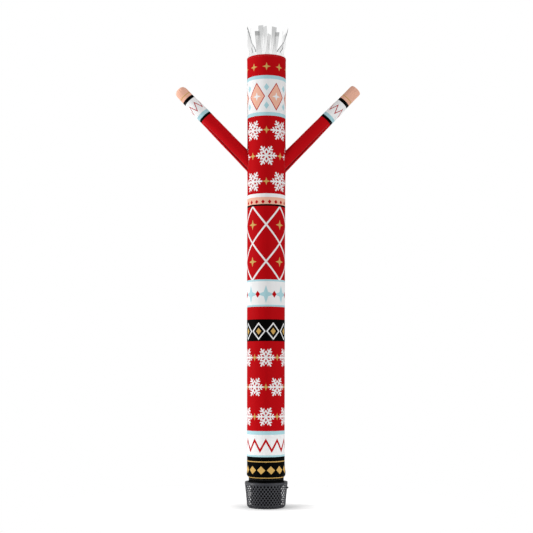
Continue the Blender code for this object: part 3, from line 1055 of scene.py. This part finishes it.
def makeBase(paint):
    edge = [guardEnd + (guardRows[-1][0] - guardEnd) * i / 4 for i in range(4)]
    outside = [(guardRadius(d), guardHeight(d)) for d in edge] + [(guard["base"], 0.0)]
    radius, height = outside[0]
    inside = [(guard["base"], guard["floor"]), (radius - guard["wall"], height + 0.001)]
    shape = [(0.0, guard["floor"]), *inside, *outside, (0.0, 0.0)]
    mesh = turned("guard_base", shape, guard["columns"], closed=False)
    addPiece(mesh, paint)


def guardPlastic():
    paint = Paint("guard_plastic", Specular_IOR_Level=0.5)
    place = paint.place()
    grain = paint.noise(place, 900.0, detail=2.0)
    patches = paint.noise(place, 9.0, detail=5.0)
    start, full, share = guard["dust"]
    top, splashShare = guard["splash"]
    dust = patches.ramp(start, full)
    low = (1.0 - paint.split(place)[2] / top).clamped()
    dark = paint.mix(dust * share, guard["plastic"], guard["dusty"])
    paint.set(Base_Color=paint.mix(low * dust * splashShare, dark, guard["splashed"]))
    paint.set(Roughness=0.32 + patches * 0.2)
    paint.relief(grain * 0.12)
    return paint


ductLook = {
    "enamel": (0.002, 0.002, 0.002, 1),
    "rubbed": (0.024, 0.023, 0.022, 1),
    "wear": (0.62, 0.74, 0.4),  # of a noise, from and full at, and its share
}


def ductMetal():
    paint = Paint("duct_metal", Specular_IOR_Level=0.06)
    place = paint.place()
    speckle = paint.noise(place, 300.0)
    start, full, share = ductLook["wear"]
    wear = paint.noise(place, 14.0, detail=6.0, rough=0.6).ramp(start, full) * share
    paint.set(Base_Color=paint.mix(wear, ductLook["enamel"], ductLook["rubbed"]))
    paint.set(Roughness=0.45 + speckle * 0.2)
    paint.relief(speckle * 0.3)
    return paint


knobs = {
    "rimAngle": -31.0, "rimRadius": 0.233,
    "sideAngle": -11.25, "sideHeight": 0.231,
    "gap": 0.0003,
    "wallFacets": 48,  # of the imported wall, on which the side knob sits
    "neck": [(0.0, 0.0), (0.0045, 0.0), (0.0045, 0.0016)],
    "grip": (0.01, 0.009),  # radius, height of its middle
    "dimple": [(0.0042, 0.0182), (0.0028, 0.0176), (0.0, 0.0174)],
    "columns": 60,
    "flutes": (12, 0.022),  # how many, depth as a share of the radius
    "rubber": (0.006, 0.006, 0.006, 1),
    "bloom": (0.02, 0.02, 0.021, 1),
}


def knobRubber():
    paint = Paint("knob_rubber", Specular_IOR_Level=0.3)
    place = paint.place()
    grain = paint.noise(place, 1400.0, detail=2.0)
    bloom = paint.noise(place, 160.0, detail=4.0).ramp(0.45, 0.75)
    paint.set(Base_Color=paint.mix(bloom * 0.5, knobs["rubber"], knobs["bloom"]))
    paint.set(Roughness=0.6 + bloom * 0.2)
    paint.relief(grain * 0.15)
    return paint


def makeKnob(node, paint, seat, up):
    size, middle = knobs["grip"]
    profile = knobs["neck"] + bend(0.0, middle, size, -44, 60, 12) + knobs["dimple"]
    profile.reverse()
    flutes, depth = knobs["flutes"]
    mesh = turned(node + "_grip", profile, knobs["columns"], False, flutes, depth)
    mesh.transform(up.to_track_quat("Z", "Y").to_matrix().to_4x4())
    mesh.transform(Matrix.Translation(seat))
    addPiece(mesh, paint, [node])


def makeKnobs(paint):
    upright, gap = Vector((0, 0, 1.0)), knobs["gap"]
    seat = outwardAt(radians(knobs["rimAngle"])) * knobs["rimRadius"]
    seat += upright * (guard["rimTop"] + gap)
    makeKnob("rim_knob", paint, seat, upright)
    (foot, low), (head, high) = guard["wallFoot"], guard["wallHead"]
    slope = atan2(head - foot, high - low)
    outward = outwardAt(radians(knobs["sideAngle"]))
    up = outward * cos(slope) - upright * sin(slope)
    radius = foot + (head - foot) * (knobs["sideHeight"] - low) / (high - low)
    seat = outward * (radius * cos(pi / knobs["wallFacets"]))
    seat += upright * knobs["sideHeight"] + up * gap
    makeKnob("side_knob", paint, seat, up)


print("blower")
guardPaint = guardPlastic()
makeGuardWall(guardPaint)
makeRim(guardPaint)
makeBase(guardPaint)
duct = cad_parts["blower_duct"]
duct.data.materials.clear()
duct.data.materials.append(ductMetal().material)
makeKnobs(knobRubber())

studio = {
    "floor": (0.93, 0.93, 0.93, 1),
    "floorGlow": 0.53,
    "paintedShadowRamp": (0.0, 0.6),  # distances from the middle between which the glow grows; the dimmer floor near the middle is a painted shadow round the blower
    "floorFade": (1.4, 2.6),  # and between which the floor fades out
    "backdrop": 1.0, "surround": 0.38,
    "panels": [  # name, turn from the front in degrees, distance, height, wide, high, watts
        ("key", -86, 9, 3.8, 2, 7, 590),
        ("front_fill", 45, 9, 3.6, 2, 7, 210),
        ("side_fill", 75, 9, 3.6, 2, 7, 120),
        ("arm_light", -50, 6, 9, 1.6, 1.6, 115),
    ],
    "aim": (0.0, 0.0, 3.4),
    "lens": 75.0,
    "eye": (0.003, -13.102, 1.552),
    "tilt": 5.4767,  # degrees above the level
}


def makeFloor():
    near, far = studio["floorFade"]
    points = [(-far, -far, 0.0), (far, -far, 0.0), (far, far, 0.0), (-far, far, 0.0)]
    mesh = newMesh("studio_floor", points, [(0, 1, 2, 3)])
    floor = newObject("studio_floor", mesh)
    paint = Paint("studio_floor", Roughness=0.9, Specular_IOR_Level=0.1)
    place = paint.place()
    mottle = paint.noise(place, 3.0)
    paint.set(Base_Color=paint.shade(studio["floor"], mottle * 0.02 + 0.99))
    away = paint.node("VectorMath", {"operation": "LENGTH"}, [place], out="Value")
    # the glow is weaker near the middle: a painted shadow round the blower's foot
    paint.set(Emission_Color=paint.shade((1, 1, 1, 1), away.ramp(*studio["paintedShadowRamp"])))
    paint.set(Emission_Strength=studio["floorGlow"])
    paint.set(Alpha=1.0 - away.ramp(near, far))
    mesh.materials.append(paint.material)


def makeWorld():
    world = bpy.data.worlds.new("studio")
    bpy.context.scene.world = world
    world.use_nodes = True
    sky = Nodes(world.node_tree)
    back = sky.tree.nodes["Background"]
    seen = sky.node("LightPath", out="Is Camera Ray")
    levels = {"Value": seen, "To Min": studio["surround"], "To Max": studio["backdrop"]}
    sky.feed(back.inputs["Color"], (1, 1, 1, 1))
    sky.feed(back.inputs["Strength"], sky.node("MapRange", None, levels))


def addPanel(name, turn, distance, rise, wide, high, power):
    light = bpy.data.lights.new(name, "AREA")
    light.shape = "RECTANGLE"
    light.size, light.size_y = wide, high
    light.energy = power
    lamp = newObject(name, light)
    turn = radians(turn)
    lamp.location = (distance * sin(turn), -distance * cos(turn), rise)
    toAim = Vector(studio["aim"]) - lamp.location
    lamp.rotation_euler = toAim.to_track_quat("-Z", "Y").to_euler()


def makeCamera():
    camera = bpy.data.cameras.new("camera")
    camera.lens = studio["lens"]
    camera.sensor_width = 36.0
    camera.clip_end = 200.0
    eye = newObject("camera", camera)
    eye.location = studio["eye"]
    eye.rotation_euler = (radians(90 + studio["tilt"]), 0.0, 0.0)
    bpy.context.scene.camera = eye


print("studio")
makeFloor()
makeWorld()
for panel in studio["panels"]:
    addPanel(*panel)
makeCamera()
bpy.context.scene.view_settings.view_transform = "Standard"
